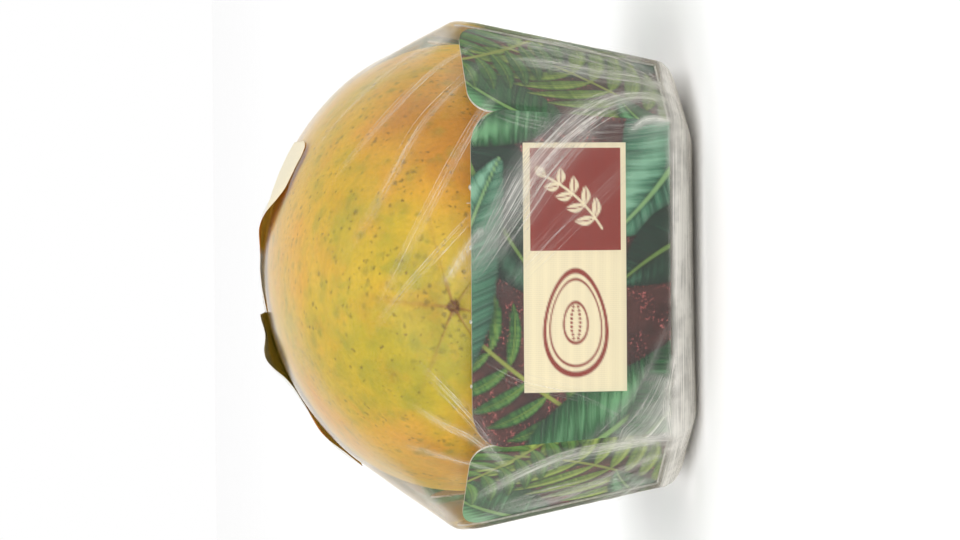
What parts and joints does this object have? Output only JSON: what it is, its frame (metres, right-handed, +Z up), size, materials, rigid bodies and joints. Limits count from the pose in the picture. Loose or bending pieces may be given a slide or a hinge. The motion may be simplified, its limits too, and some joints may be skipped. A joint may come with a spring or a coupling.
{
  "type": "papaya in a card tray under stretch film",
  "caption": "Whole ripe papaya lying in a folded eight-sided card tray, wrapped in clear stretch film with a paper label on top.",
  "frame": {"origin": "on the resting surface, under the middle of the pack", "axes": "+Z up; +Y along the fruit, from its blossom end to its stem end; +X to the right for someone looking at the blossom end"},
  "size_m": [0.1324, 0.1914, 0.1093],
  "materials": {
    "papaya_skin": "waxy fruit skin, golden yellow mottled with green",
    "printed_card": "printed and lacquered folding card, white cut edges",
    "clear_film": "clear glossy stretch film",
    "label_paper": "coated label paper"
  },
  "bodies": {
    "root": {"papaya": "papaya_skin", "tray": "printed_card", "film": "clear_film", "label": "label_paper"}
  },
  "joints": []
}
